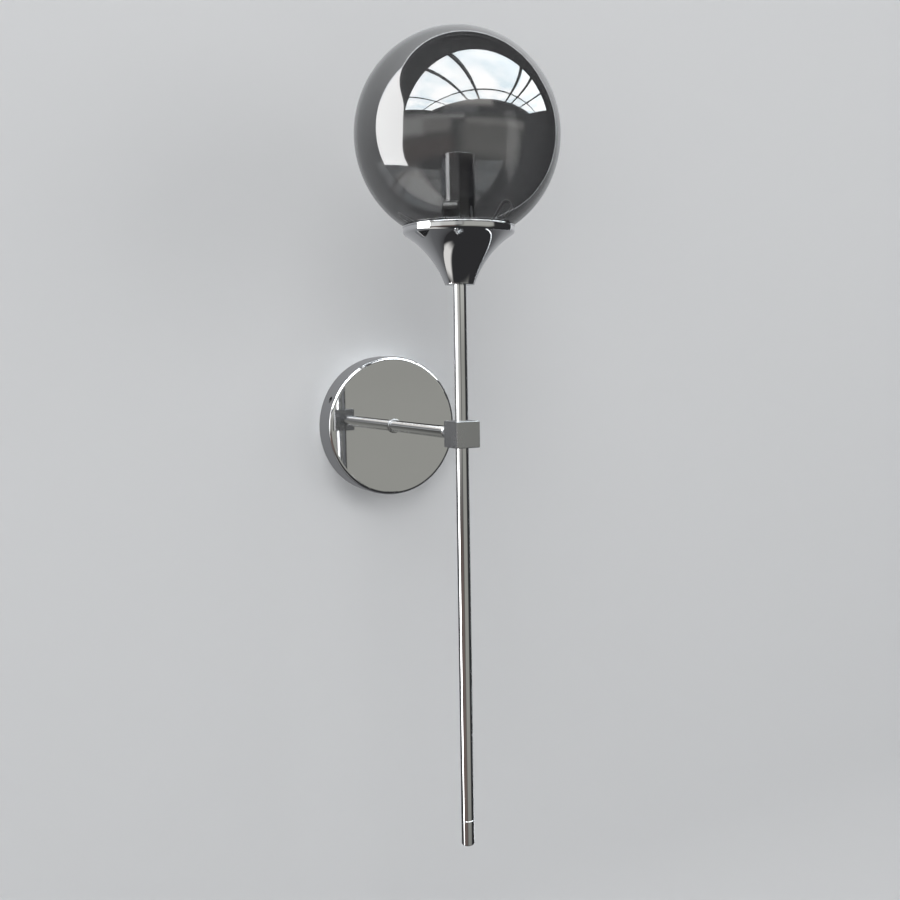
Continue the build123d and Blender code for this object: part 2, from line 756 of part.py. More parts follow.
pieces = {
    "wall_bracket": wall_bracket(),
    "canopy": canopy(),
    "canopy_screws": canopy_screws(),
    "arm_collar": arm_collar(),
    "arm_tube": arm_tube(),
    "arm_washer": arm_washer(),
    "wire_bush": wire_bush(),
    "cross_block": cross_block(),
    "upper_tube": upper_tube(),
    "lower_tube": lower_tube(),
    "tail_cap": tail_cap(),
    "cup": cup(),
    "tube_nuts": tube_nuts(),
    "clip_plate": clip_plate(),
    "clip_rivets": clip_rivets(),
    "globe_gasket": globe_gasket(),
    "sleeve": sleeve(),
    "lampholder_strap": lampholder_strap(),
    "lampholder": lampholder(),
    "lampholder_contacts": lampholder_contacts(),
    "lampholder_screws": lampholder_screws(),
    "lamp_base": lamp_base(),
    "lamp_capsule": lamp_capsule(),
    "lamp_pins": lamp_pins(),
    "globe": globe(),
    "terminal_block": terminal_block(),
    "terminal_barrels": terminal_barrels(),
    "terminal_screws": terminal_screws(),
    "earth_lug": earth_lug(),
    "earth_screw": earth_screw(),
    "earth_lead": earth_lead(pole_earth),
    "live_lead": lamp_lead("live_lead", -1, pole_live),
    "neutral_lead": lamp_lead("neutral_lead", 1, pole_neutral),
}
for place, shape in clip_shapes.items():
    pieces[f"spring_clip_{place}"] = spring_clip(*shape)

os.makedirs("parts", exist_ok=True)
for name, piece in pieces.items():
    if isinstance(piece, list):
        piece = Compound(children=piece)
    export_step(piece, f"parts/{name}.step")

print(f"globe centre {globe_centre:.2f}, top {globe_centre + globe_radius:.2f} above the arm")
print(f"globe mouth {2 * globe_mouth_inner:.1f} mm across")
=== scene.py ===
"""Globe wall sconce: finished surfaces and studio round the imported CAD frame.

The script is laid out as an add-on: each group of pieces has an operator, the sizes and
colours that a user may change sit in property groups, and a panel in the 3D view's
sidebar lists them. Lengths are in metres, in the frame of the CAD model: X to the right
along the wall, Y into the wall, Z up, with the origin at the canopy's back.
"""

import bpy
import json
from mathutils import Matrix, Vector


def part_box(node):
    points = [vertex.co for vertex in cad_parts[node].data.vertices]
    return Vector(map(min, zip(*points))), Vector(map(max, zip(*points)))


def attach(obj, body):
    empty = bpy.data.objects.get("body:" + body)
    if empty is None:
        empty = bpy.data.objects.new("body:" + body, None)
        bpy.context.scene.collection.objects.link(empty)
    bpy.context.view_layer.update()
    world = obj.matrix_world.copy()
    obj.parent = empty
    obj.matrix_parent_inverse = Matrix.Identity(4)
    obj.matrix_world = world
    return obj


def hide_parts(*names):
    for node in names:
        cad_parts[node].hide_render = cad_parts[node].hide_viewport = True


bl_info = {
    "name": "Globe wall sconce",
    "version": (1, 0, 0),
    "blender": (4, 5, 0),
    "location": "3D View > Sidebar > Sconce",
    "description": "Smoked glass globe, chrome cup, tubes and canopy of a wall sconce",
    "category": "Add Mesh",
}

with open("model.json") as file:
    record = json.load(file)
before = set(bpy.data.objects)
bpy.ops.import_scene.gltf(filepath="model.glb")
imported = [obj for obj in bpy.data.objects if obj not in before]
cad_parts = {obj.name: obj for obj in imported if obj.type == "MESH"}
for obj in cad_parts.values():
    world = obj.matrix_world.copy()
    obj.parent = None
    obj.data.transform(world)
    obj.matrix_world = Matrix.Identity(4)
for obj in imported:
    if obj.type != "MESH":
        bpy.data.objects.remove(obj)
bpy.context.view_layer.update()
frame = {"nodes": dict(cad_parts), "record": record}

import json
from math import acos, asin, atan2, cos, degrees, hypot, pi, radians, sin, sqrt

import bpy
import numpy as np
from bpy.props import FloatProperty, FloatVectorProperty, IntProperty, PointerProperty
from mathutils import Matrix, Vector

MM = 0.001


# --- What the frame says ---
def middle(node):
    """Centre of a node's box."""
    low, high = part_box(node)
    return (low + high) / 2


def span(node, axis):
    """Lowest and highest coordinate of a node along an axis."""
    low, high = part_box(node)
    return low[axis], high[axis]


UPRIGHT = middle("upper_tube")
TUBE_RADIUS = (span("upper_tube", 0)[1] - span("upper_tube", 0)[0]) / 2
CUP_FOOT, CUP_RIM = span("cup", 2)
CUP_RADIUS = span("cup", 0)[1]
PLATE_TOP = span("clip_plate", 2)[1]
SLEEVE_RADIUS = span("sleeve", 0)[1]
SLEEVE_TOP = span("sleeve", 2)[1]
GLOBE_MOUTH, GLOBE_TOP = span("globe", 2)
HOLDER_TOP = span("lampholder", 2)[1]


# --- Shader maths ---
class Channel:
    """A number on a node socket. Arithmetic on it adds the Math nodes that it needs."""

    def __init__(self, shader, socket):
        self.shader = shader
        self.socket = socket

    def _math(self, operation, first, second):
        return self.shader.maths(operation, first, second)

    def __add__(self, other):
        return self._math("ADD", self, other)

    def __radd__(self, other):
        return self._math("ADD", other, self)

    def __sub__(self, other):
        return self._math("SUBTRACT", self, other)

    def __rsub__(self, other):
        return self._math("SUBTRACT", other, self)

    def __mul__(self, other):
        return self._math("MULTIPLY", self, other)

    def __rmul__(self, other):
        return self._math("MULTIPLY", other, self)

    def __truediv__(self, other):
        return self._math("DIVIDE", self, other)

    def __pow__(self, other):
        return self._math("POWER", self, other)

    def __gt__(self, other):
        return self._math("GREATER_THAN", self, other)


class Shader:
    """The node tree of one material or of the world."""

    def __init__(self, owner):
        owner.use_nodes = True
        self.tree = owner.node_tree
        self.tree.nodes.clear()

    def add(self, kind, options=None, inputs=None, output=0):
        """Adds a node of a kind: its options first, then its sockets' values or links."""
        node = self.tree.nodes.new(kind)
        for name, value in (options or {}).items():
            if name == "stops":
                self._ramp(node, value)
            else:
                setattr(node, name, value)
        for name, value in (inputs or {}).items():
            socket = node.inputs[name]
            if isinstance(value, Channel):
                self.tree.links.new(value.socket, socket)
            else:
                socket.default_value = value
        return Channel(self, node.outputs[output]) if len(node.outputs) else node

    @staticmethod
    def _ramp(node, stops):
        elements = node.color_ramp.elements
        while len(elements) > 1:
            elements.remove(elements[-1])
        elements[0].position, elements[0].color = stops[0][0], (*stops[0][1], 1.0)
        for position, colour in stops[1:]:
            elements.new(position).color = (*colour, 1.0)

    def maths(self, operation, *values):
        """Math node on one or two numbers."""
        return self.add("ShaderNodeMath", {"operation": operation}, dict(enumerate(values)))

    def place(self):
        """Object coordinates."""
        return self.add("ShaderNodeTexCoord", output="Object")

    def split(self, vector):
        """The three parts of a vector."""
        node = self.add("ShaderNodeSeparateXYZ", inputs={0: vector}).socket.node
        return [Channel(self, socket) for socket in node.outputs]

    def noise(self, scale, detail=2.0, where=None):
        """Smooth noise from 0 to 1 in object coordinates."""
        inputs = {"Vector": where or self.place(), "Scale": scale, "Detail": detail}
        return self.add("ShaderNodeTexNoise", {"normalize": True}, inputs)

    def bands(self, value, stops):
        """Colour ramp on a number."""
        return self.add("ShaderNodeValToRGB", {"stops": stops}, {0: value})

    def mix(self, share, first, second):
        """Mix of two colours."""
        return self.add(
            "ShaderNodeMix",
            {"data_type": "RGBA"},
            {0: share, 6: first, 7: second},
            output=2,
        )

    def bump(self, height, depth, strength=1.0):
        """Normal from a height."""
        return self.add(
            "ShaderNodeBump", None, {"Height": height, "Distance": depth, "Strength": strength}
        )

    def window(self, value, low, high, soft):
        """1 where a number lies between two limits, with soft edges."""
        kind, smooth = "ShaderNodeMapRange", {"interpolation_type": "SMOOTHSTEP"}
        rise = self.add(kind, smooth, {0: value, 1: low - soft, 2: low + soft})
        fall = self.add(kind, smooth, {0: value, 1: high - soft, 2: high + soft})
        return rise * (1.0 - fall)

    def ray(self, name):
        """1 for rays of one kind, such as Is Camera Ray."""
        return self.add("ShaderNodeLightPath", output=name)

    def principled(self, inputs):
        """Ends the tree with a Principled BSDF."""
        self.finish(self.add("ShaderNodeBsdfPrincipled", None, inputs))

    def glow(self, colour, strength=1.0):
        """Ends the tree with a light of its own."""
        inputs = {"Color": colour, "Strength": strength}
        self.finish(self.add("ShaderNodeEmission", None, inputs))

    def finish(self, surface, kind="ShaderNodeOutputMaterial"):
        """Adds the output node."""
        self.add(kind, inputs={0: surface})


def rgba(colour):
    """Colour with full alpha."""
    return (*colour, 1.0)


def shade(colour, factor):
    """Colour times a factor."""
    return tuple(part * factor for part in colour)


# --- Materials ---
MATERIALS = {}


def material(name):
    """Decorator: keeps a material made by a function that fills its shader."""

    def keep(build):
        def make():
            if name not in MATERIALS:
                made = bpy.data.materials.new(name)
                build(Shader(made))
                MATERIALS[name] = made
            return MATERIALS[name]

        return make

    return keep


def plated(shader, colour, low, high):
    """Polished metal: faint clouds in its shine, fine scratches and a slight ripple."""
    clouds = shader.noise(38.0, 3.0)
    along = {0: shader.place(), "Scale": (1.0, 1.0, 0.12)}
    stretched = shader.add("ShaderNodeMapping", {"vector_type": "POINT"}, along)
    scratches = shader.noise(1400.0, 2.0, stretched)
    rough = low + (high - low) * clouds * (0.6 + 0.8 * scratches)
    tint = shader.mix(clouds, rgba(shade(colour, 0.96)), rgba(colour))
    inputs = {"Base Color": tint, "Metallic": 1.0, "Roughness": rough}
    inputs["Normal"] = shader.bump(shader.noise(55.0, 1.0) * 0.6, 0.00003)
    shader.principled(inputs)


@material("chrome plating")
def chrome_plating(shader):
    """Mirror-bright plating."""
    plated(shader, settings().metal.chrome, 0.015, 0.05)


@material("chrome plating on the cube")
def cube_plating(shader):
    """Satin plating on the cube and the collar."""
    plated(shader, shade(settings().metal.chrome, 0.58), 0.22, 0.30)


@material("chrome plating on the canopy")
def canopy_plating(shader):
    """Plating on the pressed canopy, a little less even than on the tubes."""
    plated(shader, settings().metal.chrome, 0.02, 0.06)


@material("zinc plated steel")
def zinc_steel(shader):
    """Bright zinc: spangled colour with a bluish cast and dull patches."""
    grid = {"Vector": shader.place(), "Scale": 900.0}
    cells = shader.add("ShaderNodeTexVoronoi", None, grid, "Color")
    level = shader.add("ShaderNodeRGBToBW", None, {0: cells})
    dull = shader.noise(220.0, 4.0)
    tone = shader.bands(
        level * 0.5 + dull * 0.5,
        [(0.2, (0.44, 0.46, 0.49)), (0.8, (0.62, 0.63, 0.65))],
    )
    inputs = {"Base Color": tone, "Metallic": 1.0, "Roughness": 0.24 + 0.2 * dull}
    inputs["Normal"] = shader.bump(dull, 0.00002)
    shader.principled(inputs)


@material("spring steel")
def spring_steel(shader):
    """Rolled strip: bright, with fine lines along it and a faint straw tint."""
    lines = shader.noise(2600.0, 1.0)
    patches = shader.noise(160.0, 2.0)
    tone = shader.mix(patches, rgba((0.80, 0.80, 0.80)), rgba((0.90, 0.89, 0.86)))
    inputs = {"Base Color": tone, "Metallic": 0.7, "Roughness": 0.26 + 0.14 * lines}
    inputs["Normal"] = shader.bump(lines, 0.00001)
    shader.principled(inputs)


@material("brass")
def brass(shader):
    """Plain brass with brown tarnish."""
    tarnish = shader.noise(420.0, 4.0)
    tone = shader.mix(tarnish, rgba((0.80, 0.60, 0.28)), rgba((0.55, 0.38, 0.16)))
    inputs = {"Base Color": tone, "Metallic": 1.0, "Roughness": 0.18 + 0.2 * tarnish}
    shader.principled(inputs)


@material("black silicone")
def black_silicone(shader):
    """Matt rubber with a moulded grain."""
    grain = shader.noise(1800.0, 3.0)
    tone = shader.mix(grain, rgba((0.012, 0.012, 0.012)), rgba((0.03, 0.03, 0.03)))
    inputs = {"Base Color": tone, "Roughness": 0.5 + 0.2 * grain}
    inputs["Normal"] = shader.bump(grain, 0.00004)
    shader.principled(inputs)


@material("glazed ceramic")
def glazed_ceramic(shader):
    """White body under a glaze that pools in places, with a few fired specks."""
    clouds = shader.noise(120.0, 4.0)
    specks = shader.noise(2400.0, 1.0) > 0.74
    tone = shader.mix(clouds, rgba((0.80, 0.78, 0.72)), rgba((0.88, 0.87, 0.83)))
    tone = shader.mix(specks, tone, rgba((0.45, 0.40, 0.33)))
    inputs = {"Base Color": tone, "Roughness": 0.22 + 0.16 * clouds, "Coat Weight": 0.4}
    inputs["Normal"] = shader.bump(clouds, 0.00003)
    shader.principled(inputs)


def moulded(shader, colour, gloss):
    """Moulded plastic: fine spark-eroded grain and faint flow marks."""
    grain = shader.noise(3200.0, 2.0)
    flow = shader.noise(90.0, 3.0)
    tone = shader.mix(flow, rgba(shade(colour, 0.9)), rgba(colour))
    inputs = {"Base Color": tone, "Roughness": gloss + 0.15 * grain}
    inputs["Normal"] = shader.bump(grain, 0.00002)
    shader.principled(inputs)


@material("natural nylon")
def natural_nylon(shader):
    """Undyed nylon of the terminal block and the bush."""
    moulded(shader, (0.78, 0.77, 0.72), 0.38)


@material("brown insulation")
def brown_insulation(shader):
    """Live lead."""
    moulded(shader, (0.20, 0.075, 0.03), 0.42)


@material("blue insulation")
def blue_insulation(shader):
    """Neutral lead."""
    moulded(shader, (0.04, 0.13, 0.42), 0.42)


@material("green and yellow insulation")
def earth_insulation(shader):
    """Earth lead: two broad stripes."""
    across = shader.split(shader.place())[1]
    stripe = shader.maths("SINE", across * 5200.0) > 0.0
    tone = shader.mix(stripe, rgba((0.07, 0.30, 0.06)), rgba((0.72, 0.62, 0.05)))
    grain = shader.noise(3200.0, 2.0)
    inputs = {"Base Color": tone, "Roughness": 0.42 + 0.15 * grain}
    shader.principled(inputs)


@material("frosted lamp glass with painted shade")
def frosted_glass(shader):
    """Etched white envelope with painted shade: darker down in the sleeve towards the holder, a
    little brighter towards its top.
    """
    height = shader.split(shader.place())[2]
    rise = (height - HOLDER_TOP) / (SLEEVE_TOP - HOLDER_TOP)
    frost = shader.noise(900.0, 3.0)
    # painted shade: the colour runs from darker at the holder to lighter at the sleeve's top
    tone = shader.mix(rise, rgba((0.62, 0.62, 0.60)), rgba((0.86, 0.86, 0.84)))
    inputs = {"Base Color": tone, "Roughness": 0.45 + 0.2 * frost, "Coat Weight": 0.15}
    inputs["Normal"] = shader.bump(frost, 0.00002)
    shader.principled(inputs)


@material("smoked glass")
def smoked_glass(shader):
    """Grey glass, dark through its body and glossy on its face.

    Each face lets less light through the more it is seen from the side, because the way
    through the glass is longer there. The inner face is clearer than the outer one.
    """
    glass = settings().glass
    ends = {0: shader.place(), 1: Vector((UPRIGHT.x, UPRIGHT.y, globe_centre()))}
    distance = {"operation": "DISTANCE"}
    from_centre = shader.add("ShaderNodeVectorMath", distance, ends, "Value")
    outside = from_centre > globe_radius() - glass.wall / 2
    slant = shader.add("ShaderNodeLayerWeight", None, {"Blend": 0.5}, "Facing") ** 3.0
    outer = glass.smoke + (0.97 - glass.smoke) * slant
    inner = glass.smoke * 0.45 + 0.45 * slant
    clouds = shader.noise(26.0, 2.0)
    inputs = {
        "Base Color": shader.mix(clouds, rgba(shade(glass.body, 0.8)), rgba(glass.body)),
        "Roughness": 0.008 + 0.010 * clouds,
        "IOR": glass.gloss,
        "Alpha": inner + (outer - inner) * outside,
        "Normal": shader.bump(shader.noise(17.0, 1.0), 0.00005),
    }
    shader.principled(inputs)


@material("black oxide")
def black_oxide(shader):
    """Oiled black steel."""
    wear = shader.noise(500.0, 3.0)
    tone = shader.mix(wear, rgba((0.02, 0.02, 0.022)), rgba((0.05, 0.05, 0.052)))
    inputs = {"Base Color": tone, "Metallic": 0.6, "Roughness": 0.32 + 0.2 * wear}
    shader.principled(inputs)


FINISHES = {
    "chrome": chrome_plating,
    "smoked_glass": smoked_glass,
    "black_rubber": black_silicone,
    "zinc_steel": zinc_steel,
    "spring_steel": spring_steel,
    "black_steel": black_oxide,
    "ceramic": glazed_ceramic,
    "brass": brass,
    "white_plastic": natural_nylon,
    "frosted_glass": frosted_glass,
    "lead_live": brown_insulation,
    "lead_neutral": blue_insulation,
    "lead_earth": earth_insulation,
}


def dress(piece, finish):
    """Gives a piece one material."""
    piece.data.materials.clear()
    piece.data.materials.append(finish)


# --- Surfaces ---
class Outline:
    """Profile of a turned piece, drawn as lines and arcs in radius and height.

    Each run keeps its points and its exact outward normals, so that the surface is smooth
    along a run and sharp only where two runs meet at an angle.
    """

    def __init__(self, radius, height):
        self.last = np.array([radius, height], float)
        self.runs = []

    def line(self, radius, height, steps=1):
        """Straight run: a point at share t is start + t (end - start)."""
        end = np.array([radius, height], float)
        share = np.linspace(0.0, 1.0, steps + 1)[:, None]
        points = self.last + share * (end - self.last)
        along = (end - self.last) / np.linalg.norm(end - self.last)
        normals = np.tile([along[1], -along[0]], (steps + 1, 1))
        return self._keep(points, normals)

    def arc(self, centre, turn, steps):
        """Round run about a centre: the start point turned by t * turn, for t from 0 to 1."""
        centre = np.asarray(centre, float)
        arm = self.last - centre
        radius = np.linalg.norm(arm)
        angles = np.arctan2(arm[1], arm[0]) + np.linspace(0.0, turn, steps + 1)
        ray = np.column_stack((np.cos(angles), np.sin(angles)))
        return self._keep(centre + radius * ray, ray if turn > 0 else -ray)

    def _keep(self, points, normals):
        self.runs.append((points, normals))
        self.last = points[-1]
        return self


def turned(name, outline, around, axis="Z", sides=128):
    """Surface of revolution: the point at run place p and turn a is (r(p) cos a, r(p) sin a,
    h(p)) about the axis. A ring of no radius is one vertex, two such rings have no faces
    between them, and the outline closes on its first point."""
    angle = np.linspace(0.0, 2 * pi, sides, endpoint=False)
    here = np.arange(sides)
    there = (here + 1) % sides
    blocks, faces, normals = [], [], []

    def swept(radius, height, places=here):
        """A radius and a height turned to each place of a ring."""
        turns = angle[places]
        level = np.full(sides, height)
        return np.column_stack((radius * np.cos(turns), radius * np.sin(turns), level))

    def ring(point):
        """Adds a ring and says where its vertices start and how many they are."""
        block = swept(*point) if point[0] > 1e-9 else np.array([[0.0, 0.0, point[1]]])
        start = sum(len(earlier) for earlier in blocks)
        blocks.append(block)
        return start, len(block)

    first_point, last_point = outline.runs[0][0][0], outline.runs[-1][0][-1]
    first = previous = ring(first_point)
    closed = np.allclose(last_point, first_point)
    for number, (points, directions) in enumerate(outline.runs):
        for step in range(1, len(points)):
            final = number == len(outline.runs) - 1 and step == len(points) - 1
            current = first if final and closed else ring(points[step])
            (low, low_size), (high, high_size) = previous, current
            previous = current
            if low_size == high_size == 1:
                continue
            corners = [(low, low_size, directions[step - 1], here),
                       (low, low_size, directions[step - 1], there),
                       (high, high_size, directions[step], there),
                       (high, high_size, directions[step], here)]
            if low_size == 1:
                del corners[1]
            elif high_size == 1:
                del corners[2]
            corner_points = [start + (places if size > 1 else 0 * places)
                             for start, size, _, places in corners]
            corner_normals = [swept(*normal, places) for _, _, normal, places in corners]
            faces.extend(np.column_stack(corner_points).tolist())
            normals.append(np.stack(corner_normals, axis=1).reshape(-1, 3))
    points = np.concatenate(blocks)
    directions = np.concatenate(normals)
    if axis == "Y":
        # turned pieces that point out of the wall: height runs along -Y
        points = points[:, [0, 2, 1]] * (1.0, -1.0, 1.0)
        directions = directions[:, [0, 2, 1]] * (1.0, -1.0, 1.0)
    return meshed(name, points + np.asarray(around, float), faces, directions)


def meshed(name, points, faces, directions=None):
    """Object at the origin from points and faces, with its own loop normals."""
    mesh = bpy.data.meshes.new(name)
    mesh.from_pydata(np.asarray(points).tolist(), [], faces)
    mesh.update()
    mesh.shade_smooth()
    if directions is not None:
        mesh.normals_split_custom_set(directions.tolist())
    mesh.validate(verbose=False, clean_customdata=False)
    made = bpy.data.objects.new(name, mesh)
    bpy.context.scene.collection.objects.link(made)
    return made


def place(piece, body, slot, finish, *nodes):
    """A finished piece: its material, its body and the nodes that it stands for. The slot is
    not used.
    """
    dress(piece, finish)
    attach(piece, body)
    if nodes:
        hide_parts(*nodes)
    return piece


# --- Settings ---
def globe_radius():
    """Outer radius of the globe."""
    low, high = span("globe", 0)
    return (high - low) / 2


def globe_centre():
    """Height of the globe's centre."""
    return GLOBE_TOP - globe_radius()


class MetalSettings(bpy.types.PropertyGroup):
    chrome: FloatVectorProperty(
        name="Chrome", description="Colour of the plating", subtype="COLOR", size=3,
        default=(0.72, 0.725, 0.735), min=0.0, max=1.0,
    )
    sides: IntProperty(
        name="Sides", description="Faces round each turned piece", default=128, min=24, max=360
    )


class GlassSettings(bpy.types.PropertyGroup):
    wall: FloatProperty(
        name="Wall", description="Thickness of the glass", default=2.4 * MM,
        subtype="DISTANCE", unit="LENGTH",
    )
    smoke: FloatProperty(
        name="Smoke", description="Share of the light that the outer face holds back",
        default=0.62, min=0.0, max=1.0, subtype="FACTOR",
    )
    gloss: FloatProperty(
        name="Gloss", description="Refractive index that sets how much the face reflects",
        default=2.45, min=1.0, max=4.0,
    )
    body: FloatVectorProperty(
        name="Body", description="Colour of the glass body", subtype="COLOR", size=3,
        default=(0.014, 0.014, 0.015), min=0.0, max=1.0,
    )


class StudioSettings(bpy.types.PropertyGroup):
    backdrop: FloatVectorProperty(
        name="Backdrop", description="Colour of the wall and floor", subtype="COLOR", size=3,
        default=(0.70, 0.705, 0.71), min=0.0, max=1.0,
    )
    drop: FloatProperty(
        name="Drop", description="Floor below the arm", default=0.75,
        subtype="DISTANCE", unit="LENGTH",
    )
    key: FloatProperty(
        name="Key", description="Power of the overhead softbox", default=26.0, subtype="POWER",
    )


class SconceSettings(bpy.types.PropertyGroup):
    metal: PointerProperty(type=MetalSettings)
    glass: PointerProperty(type=GlassSettings)
    studio: PointerProperty(type=StudioSettings)


def settings():
    """The scene's settings."""
    return bpy.context.scene.sconce


# --- Pieces ---
class SCONCE_OT_frame_finish(bpy.types.Operator):
    """Give every carried-over node its material"""

    bl_idname = "sconce.frame_finish"
    bl_label = "Finish the carried-over nodes"

    def execute(self, context):
        for part in frame["record"]["subparts"]:
            node = frame["nodes"][part["node"]]
            dress(node, FINISHES[part["material_slot"]]())
        dress(frame["nodes"]["cross_block"], cube_plating())
        dress(frame["nodes"]["arm_collar"], cube_plating())
        dress(frame["nodes"]["canopy"], canopy_plating())
        return {"FINISHED"}


class SCONCE_OT_globe(bpy.types.Operator):
    """Turn the glass globe: two spheres joined by a ground, rounded mouth"""

    bl_idname = "sconce.globe"
    bl_label = "Globe"

    def execute(self, context):
        wall = settings().glass.wall
        outer = globe_radius()
        inner = outer - wall
        centre = globe_centre()
        drop = centre - GLOBE_MOUTH
        edge = 0.4 * MM
        edge_height = 1.4 * edge
        lip = outer * cos(asin(-drop / outer)) - edge
        outer_start = asin(-(drop - edge_height) / outer)
        inner_end = asin(-drop / inner)
        outline = Outline(lip, GLOBE_MOUTH)
        outline.line(outer * cos(outer_start), GLOBE_MOUTH + edge_height)
        outline.arc((0.0, centre), pi / 2 - outer_start, 96)
        outline.line(0.0, centre + inner)
        outline.arc((0.0, centre), inner_end - pi / 2, 96)
        outline.line(lip, GLOBE_MOUTH)
        piece = turned("glass_globe", outline, (UPRIGHT.x, UPRIGHT.y, 0.0), sides=192)
        place(piece, "globe", "smoked_glass", smoked_glass(), "globe")
        return {"FINISHED"}


class Flare:
    """The cup's side: one arc whose heading turns evenly from the foot to the shoulder."""

    def __init__(self):
        self.foot = 11.2 * MM
        self.round = 0.8 * MM
        self.wall = 1.2 * MM
        band = 5.3 * MM
        half_turn = radians(20.0)
        start = (self.foot, CUP_FOOT + self.round)
        run, rise = CUP_RADIUS - start[0], CUP_RIM - band - start[1]
        heading = atan2(run, rise) - half_turn
        self.radius = hypot(run, rise) / (2 * sin(half_turn))
        self.centre = (
            start[0] + self.radius * cos(heading),
            start[1] - self.radius * sin(heading),
        )

    def angle(self, point):
        """Direction from the arc's centre to a point."""
        return atan2(point[1] - self.centre[1], point[0] - self.centre[0])


class SCONCE_OT_cup(bpy.types.Operator):
    """Turn the trumpet cup, its shoulder and its rolled lip"""

    bl_idname = "sconce.cup"
    bl_label = "Cup"

    def execute(self, context):
        flare = Flare()
        shoulder = 3.0 * MM
        bead = 0.6 * MM
        groove = 0.75 * MM
        side = CUP_RADIUS - 0.35 * MM
        inner = CUP_RADIUS - flare.wall
        bore = TUBE_RADIUS + 0.03 * MM
        boss = CUP_FOOT + 10.0 * MM
        # the shoulder's arc touches the flare's arc and the band
        centre_r = side - shoulder
        centre_h = flare.centre[1] + sqrt(
            (flare.radius + shoulder) ** 2 - (centre_r - flare.centre[0]) ** 2
        )
        outline = Outline(bore, CUP_FOOT)
        outline.line(flare.foot - flare.round, CUP_FOOT)
        outline.arc((flare.foot - flare.round, CUP_FOOT + flare.round), pi / 2, 8)
        side_turn = _short_turn(flare.angle(outline.last), flare.angle((centre_r, centre_h)))
        outline.arc(flare.centre, side_turn, 40)
        shoulder_start = atan2(outline.last[1] - centre_h, outline.last[0] - centre_r)
        outline.arc((centre_r, centre_h), _short_turn(shoulder_start, 0.0), 14)
        outline.line(side, CUP_RIM - 2 * bead - 0.35 * MM, 2)
        outline.line(CUP_RADIUS - groove, CUP_RIM - 2 * bead - 0.1 * MM)
        outline.line(CUP_RADIUS - bead, CUP_RIM - 2 * bead)
        outline.arc((CUP_RADIUS - bead, CUP_RIM - bead), pi, 14)
        outline.line(inner, CUP_RIM - bead)
        floor = flare.radius + flare.wall
        inner_end = acos((flare.centre[0] - inner) / floor)
        outline.line(inner, flare.centre[1] + floor * sin(inner_end), 2)
        bottom = pi - asin((boss - flare.centre[1]) / floor)
        outline.arc(flare.centre, _short_turn(flare.angle(outline.last), bottom), 32)
        outline.line(bore, boss, 2)
        outline.line(bore, CUP_FOOT, 2)
        piece = turned("trumpet_cup", outline, (UPRIGHT.x, UPRIGHT.y, 0.0), sides=160)
        place(piece, "frame", "chrome", chrome_plating(), "cup")
        return {"FINISHED"}


def _short_turn(start, end):
    """Angle from start to end, the shorter way round."""
    return (end - start + pi) % (2 * pi) - pi


class SCONCE_OT_tubes(bpy.types.Operator):
    """Turn the upright, the tail with its end cap, the arm and the sleeve"""

    bl_idname = "sconce.tubes"
    bl_label = "Tubes and sleeve"

    def execute(self, context):
        sides = settings().metal.sides
        here = (UPRIGHT.x, UPRIGHT.y, 0.0)
        bore = TUBE_RADIUS - 1.0 * MM
        for name, node in (("upright_tube", "upper_tube"), ("tail_tube", "lower_tube")):
            low, high = span(node, 2)
            piece = turned(name, pipe(TUBE_RADIUS, bore, low, high), here, sides=sides)
            place(piece, "frame", "chrome", chrome_plating(), node)
        near, far = span("arm_tube", 1)
        outline = pipe(TUBE_RADIUS, bore, -far, -near)
        piece = turned("arm_pipe", outline, (0.0, 0.0, 0.0), axis="Y", sides=sides)
        place(piece, "frame", "chrome", chrome_plating(), "arm_tube")
        self.tail(here, bore, sides)
        self.sleeve(here, sides)
        return {"FINISHED"}

    @staticmethod
    def tail(here, bore, sides):
        """End cap: a spigot, a fine groove at the joint and a broken lower edge."""
        low, high = span("tail_cap", 2)
        joint = span("lower_tube", 2)[0]
        edge = 0.6 * MM
        groove = 0.25 * MM
        spigot = bore - 0.03 * MM
        outline = Outline(0.0, low)
        outline.line(TUBE_RADIUS - edge, low)
        outline.line(TUBE_RADIUS, low + edge)
        outline.line(TUBE_RADIUS, joint - groove, 2)
        outline.line(TUBE_RADIUS - groove, joint)
        outline.line(spigot, joint)
        outline.line(spigot, high, 2)
        outline.line(0.0, high)
        piece = turned("tail_end", outline, here, sides=sides)
        place(piece, "frame", "chrome", chrome_plating(), "tail_cap")

    @staticmethod
    def sleeve(here, sides):
        """Sleeve round the lampholder: inturned base, straight wall and a rolled rim."""
        wall = 0.8 * MM
        bead = wall / 2
        base = PLATE_TOP + 1.0 * MM
        bore = TUBE_RADIUS + 0.03 * MM
        corner = 0.6 * MM
        outline = Outline(bore, PLATE_TOP)
        outline.line(SLEEVE_RADIUS - corner, PLATE_TOP)
        outline.arc((SLEEVE_RADIUS - corner, PLATE_TOP + corner), pi / 2, 6)
        outline.line(SLEEVE_RADIUS, SLEEVE_TOP - bead, 4)
        outline.arc((SLEEVE_RADIUS - bead, SLEEVE_TOP - bead), pi, 12)
        outline.line(SLEEVE_RADIUS - wall, base, 4)
        outline.line(bore, base)
        outline.line(bore, PLATE_TOP)
        piece = turned("holder_sleeve", outline, here, sides=sides)
        place(piece, "frame", "chrome", chrome_plating(), "sleeve")


def pipe(outer, inner, low, high):
    """Outline of a pipe with lightly broken edges."""
    edge = 0.15 * MM
    outline = Outline(inner, low)
    outline.line(outer - edge, low)
    outline.line(outer, low + edge)
    outline.line(outer, high - edge, 4)
    outline.line(outer - edge, high)
    outline.line(inner, high)
    outline.line(inner, low, 4)
    return outline


# --- Stage ---
CAMERA_PLACE = (-0.3720, -0.7924, 0.0575)
CAMERA_YAW = radians(29.79)
CAMERA_PITCH = radians(-7.03)
CAMERA_ROLL = radians(-0.857)
FOCAL_PIXELS = 1000.0
PICTURE = 900.0
PRINCIPAL = (465.0, 480.4)

